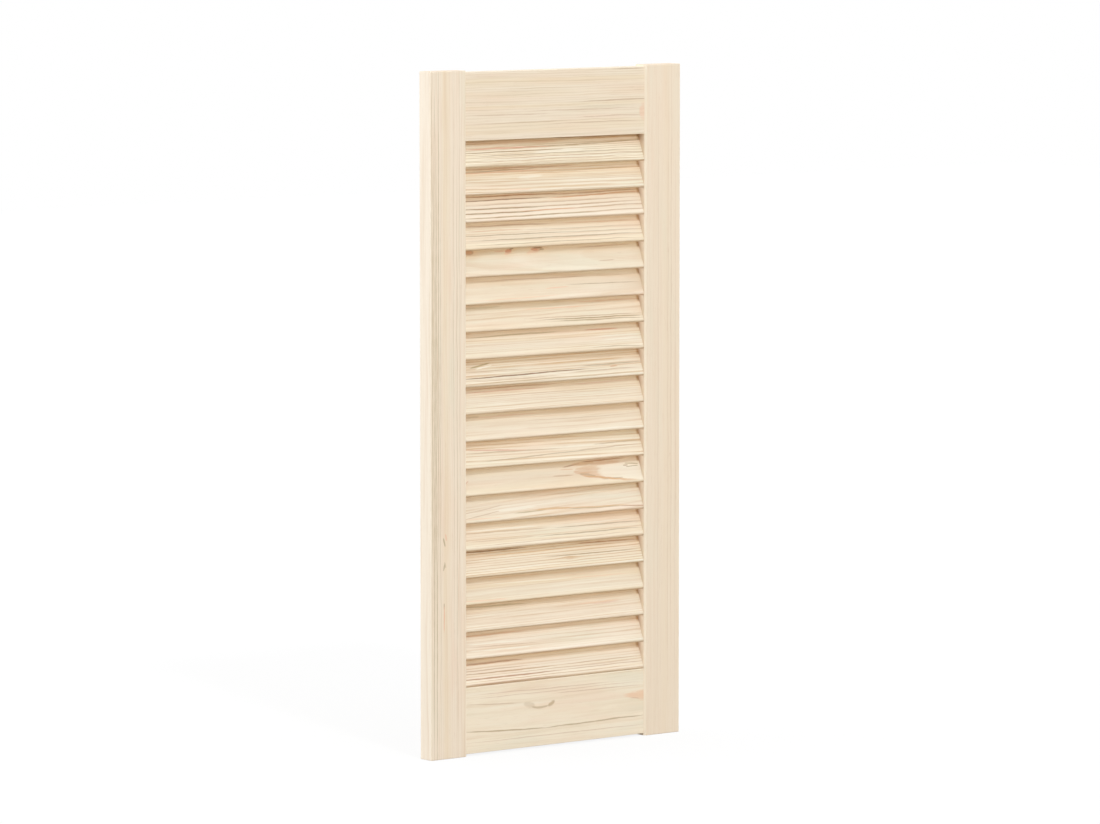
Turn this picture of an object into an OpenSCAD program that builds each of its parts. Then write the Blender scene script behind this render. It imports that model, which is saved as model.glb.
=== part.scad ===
// A louvred cabinet door of solid pine. Two upright stiles run the full height, a rail is
// dowelled between them at the top and at the bottom, and fixed slats that slope down
// towards the front sit in slanted housings in the stiles.
// The front of the door faces -Y. The origin is the middle of the bottom edge.

/* [Door] */
// Height of the door, which is the length of both stiles
door_h = 850; // [600:5:1100]
// Width of the door over both stiles
door_w = 394; // [300:1:600]
// Thickness of the door, which is the thickness of both stiles
door_t = 22; // [20:0.5:30]

/* [Stiles] */
// Width of each stile
stile_w = 56; // [45:1:80]
// Rounding of the outer arrises and of the ends of the stiles
stile_round = 0.8; // [0.4:0.1:1.5]
// Flat left between the chamfer that faces the slats and the face of the rails
chamfer_lip = 0.2; // [0.1:0.1:0.6]

/* [Rails] */
// Thickness of both rails, which lie midway in the thickness of the door
rail_t = 17; // [12:0.5:18]
// Height of the top rail
top_rail_h = 84.7; // [60:0.1:110]
// Height of the bottom rail
bottom_rail_h = 83; // [60:0.1:130]
// How far the stiles stand above the top rail
top_horn = 2; // [1:0.1:6]
// How far the stiles reach below the bottom rail
bottom_horn = 2.7; // [1:0.1:6]
// Rounding of the long arrises of the rails
rail_round = 0.6; // [0.3:0.1:1.5]

/* [Slats] */
// Number of slats
slat_count = 20; // [12:1:24]
// Width of a slat, measured along its slope
slat_w = 36; // [30:0.5:38]
// Thickness of a slat, whose long edges are half round
slat_t = 5; // [4:0.5:7]
// Slope of a slat's face from the horizontal
slat_angle = 67; // [64:1:78]
// How far the noses of the slats lie behind the front of the rails
nose_back = 0.2; // [0.2:0.1:1]
// Space between the end slats and the rails
seat_gap = 0.2; // [0.1:0.1:1]

/* [Housings] */
// Depth of the housings that hold the slats in the stiles
housing_depth = 9; // [6:0.5:14]
// Clearance round a slat in its housing
slat_clear = 0.15; // [0.1:0.05:0.2]
// Clearance between the end of a slat and the bottom of its housing
slat_end_clear = 0.4; // [0.2:0.1:1]

/* [Dowels] */
// Diameter of the dowels that join the rails to the stiles
dowel_d = 8; // [6:0.5:10]
// Length of a dowel, half in the rail and half in the stile
dowel_len = 40; // [30:1:60]
// Chamfer on both ends of a dowel
dowel_chamfer = 1; // [0.5:0.1:1.5]
// Distance from the edges of a rail to the axes of its dowels
dowel_inset = 20; // [14:1:24]
// Clearance round a dowel in its bores
dowel_clear = 0.1; // [0.05:0.05:0.2]
// Room for glue past each end of a dowel
glue_room = 0.5; // [0.3:0.1:2]

/* [Hidden] */
SLAT_NAMES = [for (k = [1 : slat_count]) str("slat_", k < 10 ? "0" : "", k)];
FRAME_NAMES = ["left_stile", "right_stile", "top_rail", "bottom_rail"];
DOWEL_NAMES = ["top_left_dowels", "top_right_dowels", "bottom_left_dowels", "bottom_right_dowels"];

$fn = 48;
LEFT = -1;
RIGHT = 1;
// Overshoot of a cutting solid past the face that it opens
past = 1;

// Colours of the boards and of the dowels
pine = [0.92, 0.85, 0.74];
pale_pine = [0.94, 0.87, 0.77];
beech = [0.82, 0.68, 0.52];

// The opening between the stiles and between the rails
opening_w = door_w - 2 * stile_w;
opening_foot = bottom_horn + bottom_rail_h;
opening_top = door_h - top_horn - top_rail_h;

// Distance from the front of the stiles to the front of the rails, and the chamfer beside it
recess = (door_t - rail_t) / 2;
stile_chamfer = recess - chamfer_lip;

// A slat's half thickness, the distance between the axes of its two round edges, and its rise
nose_r = slat_t / 2;
slat_span = slat_w - slat_t;
slat_rise = slat_t + slat_span * sin(slat_angle);
slat_len = opening_w + 2 * (housing_depth - slat_end_clear);

// Axis of the round nose of the lowest slat, and the step up from each slat to the next
nose_y = -door_t / 2 + recess + nose_back + nose_r;
lowest_nose_z = opening_foot + seat_gap + nose_r;
highest_nose_z = opening_top - seat_gap - slat_rise + nose_r;
pitch = (highest_nose_z - lowest_nose_z) / (slat_count - 1);

// Bores for the dowels
bore_r = dowel_d / 2 + dowel_clear;
bore_depth = dowel_len / 2 + glue_room;

// The square corner left outside a quarter circle, for cutting a rounded corner at the origin
module corner_waste(radius) {
    difference() {
        translate([-past, -past]) square(radius + past);
        translate([radius, radius]) circle(radius);
    }
}

// A rectangle centred on the origin with rounded corners
module eased_rectangle(width, height, radius) {
    difference() {
        square([width, height], center = true);
        for (turn_x = [0, 1], turn_y = [0, 1])
            mirror([turn_x, 0])
                mirror([0, turn_y])
                    translate([-width / 2, -height / 2]) corner_waste(radius);
    }
}

// An outline in the Y and Z directions, extruded along X from its middle
module along_x(length) {
    rotate([90, 0, 90])
        linear_extrude(length, center = true) children();
}

// Plan of the right stile: rounded outer arrises, chamfered arrises towards the slats
module stile_plan() {
    difference() {
        eased_rectangle(stile_w, door_t, stile_round);
        for (turn_y = [0, 1])
            mirror([0, turn_y])
                translate([-stile_w / 2, -door_t / 2])
                    polygon([[-past, -past], [stile_chamfer + past, -past], [-past, stile_chamfer + past]]);
    }
}

// The right stile's board before it is cut, with its ends eased as well
module stile_blank() {
    translate([(opening_w + stile_w) / 2, 0, door_h / 2]) {
        intersection() {
            linear_extrude(door_h, center = true) stile_plan();
            rotate([90, 0, 0])
                linear_extrude(door_t + 2 * past, center = true)
                    eased_rectangle(stile_w, door_h, stile_round);
            along_x(stile_w + 2 * past) eased_rectangle(door_t, door_h, stile_round);
        }
    }
}

// Height of the nose axis of slat k, counted from 1 at the top
function nose_z(k) = highest_nose_z - (k - 1) * pitch;

// Outline of a slat with its nose axis at the origin, grown by a clearance on every side
module slat_outline(clearance) {
    reach = nose_r + clearance;
    rotate(slat_angle) {
        translate([0, -reach]) square([slat_span, 2 * reach]);
        circle(reach);
        translate([slat_span, 0]) circle(reach);
    }
}

// Slanted housing in the right stile for slat k
module slat_housing(k) {
    translate([opening_w / 2 + (housing_depth - past) / 2, nose_y, nose_z(k)])
        along_x(housing_depth + past) slat_outline(slat_clear);
}

// Heights of the two dowels in a rail whose lower edge is at foot
function dowel_heights(foot, height) = [foot + dowel_inset, foot + height - dowel_inset];
top_dowel_heights = dowel_heights(opening_top, top_rail_h);
bottom_dowel_heights = dowel_heights(bottom_horn, bottom_rail_h);

// Bores across the joint between the right stile and the rails, one reach into each board
module dowel_bores(heights) {
    for (height = heights)
        translate([opening_w / 2, 0, height])
            rotate([0, 90, 0]) cylinder(h = 2 * bore_depth, r = bore_r, center = true);
}

// One of the two stiles, with its housings and bores
module stile(side) {
    color(pine)
        mirror([side == LEFT ? 1 : 0, 0, 0])
            difference() {
                stile_blank();
                for (k = [1 : slat_count]) slat_housing(k);
                dowel_bores(concat(top_dowel_heights, bottom_dowel_heights));
            }
}

module left_stile() {
    stile(LEFT);
}

module right_stile() {
    stile(RIGHT);
}

// A rail between the stiles, with dowel bores in both ends
module rail(foot, height, heights) {
    color(pine)
        difference() {
            translate([0, 0, foot + height / 2])
                along_x(opening_w) eased_rectangle(rail_t, height, rail_round);
            dowel_bores(heights);
            mirror([1, 0, 0]) dowel_bores(heights);
        }
}

module top_rail() {
    rail(opening_top, top_rail_h, top_dowel_heights);
}

module bottom_rail() {
    rail(bottom_horn, bottom_rail_h, bottom_dowel_heights);
}

// Slat k, counted from 1 at the top
module slat(k) {
    color(pale_pine)
        translate([0, nose_y, nose_z(k)])
            along_x(slat_len) slat_outline(0);
}

// A dowel along X with chamfered ends, centred on the origin
module dowel() {
    outer = dowel_d / 2;
    half = dowel_len / 2;
    rotate([0, 90, 0])
        rotate_extrude()
            polygon([
                [0, -half],
                [outer - dowel_chamfer, -half],
                [outer, -half + dowel_chamfer],
                [outer, half - dowel_chamfer],
                [outer - dowel_chamfer, half],
                [0, half]
            ]);
}

// The dowels of one corner
module corner_dowels(side, heights) {
    color(beech)
        for (height = heights)
            translate([side * opening_w / 2, 0, height]) dowel();
}

left_stile();
right_stile();
top_rail();
bottom_rail();
for (k = [1 : slat_count])
    slat(k);
corner_dowels(LEFT, top_dowel_heights);  // top_left_dowels
corner_dowels(RIGHT, top_dowel_heights);  // top_right_dowels
corner_dowels(LEFT, bottom_dowel_heights);  // bottom_left_dowels
corner_dowels(RIGHT, bottom_dowel_heights);  // bottom_right_dowels
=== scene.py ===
import math

import bpy
import numpy as np
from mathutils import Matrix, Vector


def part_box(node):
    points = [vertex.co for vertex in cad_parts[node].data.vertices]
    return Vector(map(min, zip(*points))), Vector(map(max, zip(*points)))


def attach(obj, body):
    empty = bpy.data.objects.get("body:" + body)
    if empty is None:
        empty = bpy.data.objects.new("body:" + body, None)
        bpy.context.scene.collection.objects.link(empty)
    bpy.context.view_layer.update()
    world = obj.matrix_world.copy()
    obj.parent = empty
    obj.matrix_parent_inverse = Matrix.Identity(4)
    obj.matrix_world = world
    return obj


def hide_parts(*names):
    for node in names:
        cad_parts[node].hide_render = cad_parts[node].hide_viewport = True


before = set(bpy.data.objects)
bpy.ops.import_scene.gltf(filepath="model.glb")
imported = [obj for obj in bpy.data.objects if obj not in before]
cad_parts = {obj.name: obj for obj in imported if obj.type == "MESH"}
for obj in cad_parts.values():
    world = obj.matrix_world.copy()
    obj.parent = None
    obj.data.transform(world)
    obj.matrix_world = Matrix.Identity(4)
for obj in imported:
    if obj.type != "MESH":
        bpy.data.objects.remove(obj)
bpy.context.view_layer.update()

# The boards, in metres, in the words of the drawing
SLAT_COUNT = 20
SLAT_THICKNESS = 0.005
SLAT_WIDTH = 0.036
SLAT_SLOPE = math.radians(67)
OPENING_HALF = 0.141
NOSE_RADIUS = SLAT_THICKNESS / 2
SLAT_SPAN = SLAT_WIDTH - SLAT_THICKNESS
STILE_WIDTH = 0.056
DOOR_THICKNESS = 0.022
RAIL_THICKNESS = 0.017
MM = 0.001

chance = np.random.default_rng(20)


# Wiring of shader nodes

# The factor, the two colours and the result among the sockets of the Mix node
MIX_FACTOR, MIX_FIRST, MIX_SECOND, MIX_RESULT = 0, 6, 7, 2


class Bench:
    """A node tree under work: puts nodes down and feeds values or sockets into their inputs."""

    def __init__(self, tree):
        self.tree = tree

    def feed(self, socket, value):
        """Links a socket's value to another socket, or sets a plain one."""
        if isinstance(value, bpy.types.NodeSocket):
            self.tree.links.new(value, socket)
        else:
            socket.default_value = value

    def put(self, kind, inputs=None, **settings):
        """A node of one kind, with its settings, and its inputs by name or number."""
        made = self.tree.nodes.new("ShaderNode" + kind)
        for name, value in settings.items():
            setattr(made, name, value)
        for name, value in (inputs or {}).items():
            self.feed(made.inputs[name], value)
        return made

    def group(self, tree, inputs):
        """The outputs of a node group that is put down with its inputs."""
        return self.put("Group", inputs, node_tree=tree).outputs

    def calc(self, operation, *values):
        """One operation on numbers."""
        return self.put("Math", dict(enumerate(values)), operation=operation).outputs[0]

    def times(self, first, *others):
        """The product of several numbers."""
        for value in others:
            first = self.calc("MULTIPLY", first, value)
        return first

    def plus(self, first, *others):
        """The sum of several numbers."""
        for value in others:
            first = self.calc("ADD", first, value)
        return first

    def minus(self, first, second):
        """The first number less the second."""
        return self.calc("SUBTRACT", first, second)

    def over(self, first, second):
        """The first number divided by the second."""
        return self.calc("DIVIDE", first, second)

    def larger(self, first, second):
        """The larger of two numbers."""
        return self.calc("MAXIMUM", first, second)

    def size(self, value):
        """A number without its sign."""
        return self.calc("ABSOLUTE", value)

    def clamp(self, value):
        """A number held between 0 and 1."""
        return self.put("Clamp", {0: value}).outputs[0]

    def split(self, vector):
        """The three numbers of a vector."""
        return self.put("SeparateXYZ", {0: vector}).outputs

    def join(self, x, y, z=0.0):
        """A vector of three numbers."""
        return self.put("CombineXYZ", {0: x, 1: y, 2: z}).outputs[0]

    def length(self, x, y):
        """The length of a flat vector."""
        return self.put("VectorMath", {0: self.join(x, y)}, operation="LENGTH").outputs["Value"]

    def between(self, share, low, high):
        """A number between two others, by a share from 0 to 1."""
        return self.put("MapRange", {"Value": share, "To Min": low, "To Max": high}).outputs[0]

    def step(self, value, start, full):
        """Smooth step from 0 at start to 1 at full, which may be the lower of the two."""
        made = self.put("MapRange", {"Value": value, "From Min": start, "From Max": full},
                        interpolation_type="SMOOTHSTEP")
        return made.outputs[0]

    def zone(self, value, limits):
        """Smooth step between two places in mm, from where it starts to where it is full."""
        start, full = limits
        return self.step(value, start * MM, full * MM)

    def noise(self, vector, scale=1.0, detail=2.0):
        """Soft noise, about -0.5 to 0.5."""
        made = self.put("TexNoise", {"Vector": vector, "Scale": scale, "Detail": detail})
        return self.minus(made.outputs[0], 0.5)

    def line_noise(self, value):
        """Soft noise along one number, about -0.5 to 0.5."""
        made = self.put("TexNoise", {"W": value, "Scale": 1.0, "Detail": 1.0},
                        noise_dimensions="1D")
        return self.minus(made.outputs[0], 0.5)

    def grain(self, place, along_rate, cross_rate, detail=2.0):
        """Soft noise drawn out along a board, with the rate of its waves per metre each way."""
        rates = (along_rate, cross_rate, cross_rate)
        stretched = (self.times(way, rate) for way, rate in zip(place, rates))
        return self.noise(self.join(*stretched), detail=detail)

    def mix(self, factor, first, second, blend="MIX"):
        """Two colours mixed or blended."""
        inputs = {MIX_FACTOR: factor, MIX_FIRST: first, MIX_SECOND: second}
        return self.put("Mix", inputs, data_type="RGBA", blend_type=blend).outputs[MIX_RESULT]


def node_group(name, inputs, outputs):
    """An empty shader node group. Gives its bench, its inputs and its output node's sockets.

    Each input has a name and a plain value: a number, a colour as a tuple, or None for a vector.
    The outputs are numbers, apart from those that are called Color or Colour.
    """
    group = bpy.data.node_groups.new(name, "ShaderNodeTree")
    for label, value in inputs.items():
        kind = "Vector" if value is None else "Color" if isinstance(value, tuple) else "Float"
        socket = group.interface.new_socket(label, in_out="INPUT", socket_type="NodeSocket" + kind)
        if value is not None:
            socket.default_value = value
    for label in outputs:
        kind = "Color" if label in ("Color", "Colour") else "Float"
        group.interface.new_socket(label, in_out="OUTPUT", socket_type="NodeSocket" + kind)
    given = group.nodes.new("NodeGroupInput").outputs
    out = group.nodes.new("NodeGroupOutput").inputs
    return Bench(group), given, out


def new_material(name):
    """A new material, with its bench and the inputs of its shader."""
    material = bpy.data.materials.new(name)
    material.use_nodes = True
    return material, Bench(material.node_tree), material.node_tree.nodes["Principled BSDF"].inputs


def srgb(red, green, blue):
    """A colour written 0 to 255 as on a screen, made linear and solid."""
    tones = np.array([red, green, blue]) / 255.0
    linear = np.where(tones <= 0.04045, tones / 12.92, ((tones + 0.055) / 1.055) ** 2.4)
    return (*linear.tolist(), 1.0)


# Colours of the wood and of its lines, as on a screen
CREAM = (237, 223, 201)
FRAME_CREAM = (243, 228, 207)
OLIVE = (237, 224, 202)
GOLDEN = (240, 226, 203)
PALE = (241, 227, 207)
WAN = (235, 221, 198)
BARK = (138, 99, 64)
REED = (186, 168, 128)
GREY = (162, 131, 90)
HONEY = (214, 172, 124)
RUSSET = (166, 112, 68)
TAN = (188, 150, 112)
RED = (208, 140, 112)
ROSE = (216, 150, 124)
ORANGE = (208, 150, 104)
UMBER = (172, 120, 82)
PEACH = (238, 190, 158)
BLUSH = (240, 200, 166)
MOSS = (166, 146, 98)
CHALK = (250, 245, 230)
MARK = (184, 158, 116)
ROAST = (212, 164, 120)
RESIN = (176, 128, 90)
ROSY_PATCH = (243, 214, 190)
COOL_PATCH = (232, 229, 208)
GOLD_BAND = (238, 217, 178)
# Painted light on the outer side of each stile
PAINTED_SIDE_PALE = (253, 244, 231)
PALE_HAIR = (248, 239, 222)
# Pale arris wear, which on slat noses and stile chamfers is also a painted highlight
PALE_WEAR_AND_HIGHLIGHT = (252, 241, 222)
END_GRAIN = (196, 156, 112)
WHITE = (1.0, 1.0, 1.0, 1.0)

# Darker marks of the wood: their mask, its share and its colour
STAINS = (("Dash", 0.20, (196, 158, 120)), ("Halo", 0.50, (233, 196, 152)),
          ("Core", 0.80, (196, 138, 98)), ("Rim", 0.50, (164, 114, 80)))

# Shares of the masks in the wood's roughness and in the height of its surface
PLANED_ROUGHNESS = 0.66
ROUGHNESS_SHARES = (("Late Wood", -0.10), ("Streak", 0.16), ("Core", -0.14), ("End Grain", 0.16))
HEIGHT_SHARES = (("Late Wood", 0.55), ("Streak", 0.9), ("Dash", -0.7), ("Core", 0.5))

# Masks that the groups give each other: from the rings, the knots and the fibres, and by place
RING_MASKS = ("Late Wood", "Year", "Band", "Hairline")
KNOT_LOOKS = ("Core", "Rim", "Halo")
KNOT_MASKS = ("Push", *KNOT_LOOKS)
FIBRE_MASKS = ("Streak", "Coarse", "Dash", "Cloud")
# Masks by place: lines, painted light and shade, painted light on a stile's outer side, arris wear
# with a painted highlight, and end grain
PLACE_MASKS = ("Line", "Painted Light", "Painted Side Light", "Wear", "End Grain")

# How far from a long arris the wood is worn, and the narrowest that a line gets, in metres
ARRIS_REACH = 0.002
NARROWEST = 0.0001

# How much stronger a line must be than the ones before it to hide them
OVERLAP = 0.06


# Parts of the look of pine, each a node group on a board that lies X along, Y across, Z through

def growth_rings():
    """Growth rings cut by the board.

    The rings are circles round the pith, whose place across and through the board drifts along it.
    Distance from the pith, plus soft wander, divided by the spacing counts the years. Within a
    year the wood darkens slowly towards its late wood and ends sharply. Hairline is noise drawn out
    along the rings.
    """
    bench, given, out = node_group("growth rings", {
        "Vector": None, "Pith Across": 0.06, "Pith Below": -0.02, "Drift Across": 0.0,
        "Drift Below": 0.0, "Spacing": 0.003, "Wander": 0.001, "Ripple": 0.0003, "Push": 0.0,
        "Uneven": 1.0, "Seed": 0.0}, RING_MASKS)
    seed = given["Seed"]
    along, across, through = bench.split(given["Vector"])
    shifted = bench.plus(along, seed)
    place = (shifted, across, through)
    slow = bench.grain(place, along_rate=5.0, cross_rate=26.0)
    quick = bench.grain(place, along_rate=38.0, cross_rate=160.0, detail=1.0)
    wander = bench.plus(bench.times(slow, given["Wander"]), bench.times(quick, given["Ripple"]))
    pith_across = bench.plus(given["Pith Across"], bench.times(along, given["Drift Across"]))
    pith_below = bench.plus(given["Pith Below"], bench.times(along, given["Drift Below"]))
    off_across = bench.minus(bench.minus(across, given["Push"]), pith_across)
    off_through = bench.minus(through, pith_below)
    distance = bench.plus(bench.length(off_across, off_through), wander)
    years = bench.over(distance, given["Spacing"])

    def varied(count, plain, amount, rate, shift=0.0):
        """A plain value, varied by noise along a count of years, as far as the wood is uneven."""
        place = bench.plus(bench.times(count, rate), seed, shift)
        return bench.plus(plain, bench.times(bench.line_noise(place), given["Uneven"], amount))

    years = varied(years, plain=years, amount=1.7, rate=0.42)
    part, count = bench.calc("FRACT", years), bench.calc("FLOOR", years)
    year = bench.clamp(varied(count, plain=0.55, amount=2.2, rate=0.71))
    darkens_from = varied(count, plain=0.35, amount=1.6, rate=0.71, shift=40.0)
    rise = bench.step(part, darkens_from, 0.88)
    fall = bench.step(part, 1.0, 0.89)
    fading = bench.noise(bench.join(bench.times(shifted, 11.0), bench.times(count, 3.7), seed))
    fading = bench.clamp(bench.plus(0.8, bench.times(fading, given["Uneven"], 2.4)))
    band = bench.line_noise(bench.plus(bench.times(years, 0.23), seed))
    hairline = bench.join(bench.times(shifted, 6.0), bench.times(distance, 480.0), seed)
    bench.feed(out["Late Wood"], bench.times(rise, rise, fall, fading))
    bench.feed(out["Year"], year)
    bench.feed(out["Band"], bench.plus(band, 0.5))
    bench.feed(out["Hairline"], bench.noise(hairline, detail=1.0))
    return bench.tree


def knot():
    """One knot: an oval, drawn out along the board, with a ragged edge.

    The core is dark inside the radius and the rim is a ring there. The halo is warm wood round it,
    and the push bends the growth rings round it.
    """
    bench, given, out = node_group("knot", {
        "Vector": None, "Along": 0.0, "Across": 0.0, "Radius": 0.004, "Stretch": 1.6, "Slope": 0.0,
        "Bend": 0.5, "Strength": 1.0, **{mask + " In": 0.0 for mask in KNOT_MASKS}}, KNOT_MASKS)
    strength = given["Strength"]
    along, across, _ = bench.split(given["Vector"])
    off_along = bench.minus(along, given["Along"])
    off_across = bench.minus(bench.minus(across, given["Across"]),
                             bench.times(off_along, given["Slope"]))
    x = bench.over(off_along, bench.times(given["Radius"], given["Stretch"]))
    y = bench.over(off_across, given["Radius"])
    ragged = bench.times(bench.noise(given["Vector"], scale=420.0, detail=3.0), 0.5)
    reach = bench.plus(bench.length(x, y), ragged)
    core = bench.times(bench.step(reach, 1.05, 0.55), strength)
    rim = bench.times(bench.step(reach, 0.55, 0.9), bench.step(reach, 1.35, 0.95), strength)
    fade = bench.calc("EXPONENT", bench.times(reach, reach, -0.16))
    push = bench.times(off_across, fade, given["Bend"])
    bench.feed(out["Push"], bench.plus(given["Push In"], push))
    bench.feed(out["Core"], bench.larger(given["Core In"], core))
    bench.feed(out["Rim"], bench.larger(given["Rim In"], rim))
    bench.feed(out["Halo"], bench.larger(given["Halo In"], bench.times(fade, strength)))
    return bench.tree


def lay_over(bench, given, out, mask, tint):
    """Puts a line over the ones before it: its own colour shows where it is the stronger."""
    stronger = bench.step(bench.minus(mask, given["Line In"]), -OVERLAP, OVERLAP)
    bench.feed(out["Line"], bench.larger(given["Line In"], mask))
    bench.feed(out["Colour"], bench.mix(stronger, given["Colour In"], tint))


def resin_line():
    """One coloured line in the wood: a parabola along the board, with soft ragged edges.

    Across the board it lies at its middle height, plus slope times the way along, plus sag times
    that way squared, plus a soft wander. It thins towards its half length and fades there. Where
    it is stronger than the lines before it, its own colour takes their place.
    """
    bench, given, out = node_group("resin line", {
        "Vector": None, "Along": 0.0, "Across": 0.0, "Half Length": 0.05, "Thickness": 0.0008,
        "Slope": 0.0, "Sag": 0.0, "Strength": 1.0, "Tint": srgb(*RESIN), "Line In": 0.0,
        "Colour In": srgb(*RESIN)}, ("Line", "Colour"))
    along, across, _ = bench.split(given["Vector"])
    way = bench.minus(along, given["Along"])
    curve = bench.plus(bench.times(way, given["Slope"]), bench.times(way, way, given["Sag"]))
    drift = bench.grain((along, across), along_rate=14.0, cross_rate=25.0)
    curve = bench.plus(curve, bench.times(drift, 0.003))
    off = bench.minus(bench.minus(across, given["Across"]), curve)
    share = bench.over(bench.size(way), given["Half Length"])
    ragged = bench.grain((along, across), along_rate=60.0, cross_rate=260.0)
    taper = bench.minus(1.0, bench.times(share, share, 0.7))
    width = bench.times(given["Thickness"], bench.plus(1.0, bench.times(ragged, 1.5)), taper)
    near = bench.over(bench.size(off), bench.larger(width, NARROWEST))
    inside, ends = bench.step(near, 1.15, 0.3), bench.step(share, 1.05, 0.65)
    lay_over(bench, given, out, bench.times(inside, ends, given["Strength"]), given["Tint"])
    return bench.tree


def flame_knot():
    """A knot cut along its length: a flame that opens along the board from its tip as a parabola.

    The wood is dark at the tip and on the outline, most on the lower side, and light inside.
    Where the flame is stronger than the lines before it, its colours take their place.
    """
    bench, given, out = node_group("flame knot", {
        "Vector": None, "Along": 0.0, "Across": 0.0, "Length": 0.1, "Half Width": 0.012,
        "Slope": 0.0, "Strength": 1.0, "Core Tint": srgb(*RESIN),
        "Inner Tint": srgb(246, 236, 214), "Line In": 0.0, "Colour In": srgb(*RESIN)},
        ("Line", "Colour"))
    along, across, _ = bench.split(given["Vector"])
    way = bench.minus(along, given["Along"])
    share = bench.larger(bench.over(way, given["Length"]), 0.0)
    half = bench.times(bench.calc("SQRT", share), given["Half Width"])
    soft = bench.grain((along, across), along_rate=50.0, cross_rate=130.0, detail=3.0)
    off = bench.minus(bench.minus(across, given["Across"]), bench.times(way, given["Slope"]))
    off = bench.plus(off, bench.times(soft, 0.0036))
    past = bench.minus(bench.size(off), half)
    inside = bench.times(bench.zone(past, (1.0, -2.4)), bench.step(share, 0.0, 0.05))
    strand = bench.grain((along, across), along_rate=30.0, cross_rate=420.0)
    strand = bench.clamp(bench.plus(0.72, bench.times(strand, 2.2)))
    core = bench.times(inside, bench.step(share, 0.50, 0.22), strand, 0.75)
    lower = bench.minus(1.0, bench.times(bench.zone(off, (-1.0, 1.0)), 0.65))
    edge = bench.times(bench.zone(bench.size(past), (2.2, 0.3)), bench.step(share, 1.05, 0.55),
                       lower, bench.step(share, 0.04, 0.22))
    dark = bench.larger(core, edge)
    mask = bench.times(bench.larger(dark, bench.times(inside, 0.45)), given["Strength"])
    tint = bench.mix(bench.step(dark, 0.05, 0.35), given["Inner Tint"], given["Core Tint"])
    lay_over(bench, given, out, mask, tint)
    return bench.tree


def fibres():
    """Fine fibres and pores: noise drawn out along the board, as streaks and short dark dashes."""
    bench, given, out = node_group("fibres", {"Vector": None, "Seed": 0.0}, FIBRE_MASKS)
    along, across, through = bench.split(given["Vector"])
    place = (bench.plus(along, given["Seed"]), across, through)
    pores = bench.grain(place, along_rate=70.0, cross_rate=1500.0, detail=1.0)
    bench.feed(out["Streak"], bench.grain(place, along_rate=22.0, cross_rate=900.0, detail=3.0))
    bench.feed(out["Coarse"], bench.grain(place, along_rate=9.0, cross_rate=330.0))
    bench.feed(out["Dash"], bench.step(pores, 0.17, 0.27))
    bench.feed(out["Cloud"], bench.grain(place, along_rate=7.0, cross_rate=45.0))
    return bench.tree


def worn_arris():
    """Nearness to the long arrises of a rectangular board, as a mask that is 1 at an arris."""
    bench, given, out = node_group("worn arris", {
        "Vector": None, "Half Width": 0.02, "Half Thickness": 0.008}, ("Wear",))
    _, across, through = bench.split(given["Vector"])
    to_edge = bench.minus(given["Half Width"], bench.size(across))
    to_face = bench.minus(given["Half Thickness"], bench.size(through))
    patchy = bench.times(bench.noise(given["Vector"], scale=60.0, detail=3.0), ARRIS_REACH)
    farthest = bench.plus(bench.larger(to_edge, to_face), patchy)
    bench.feed(out["Wear"], bench.step(farthest, ARRIS_REACH, 0.0))
    return bench.tree


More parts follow.
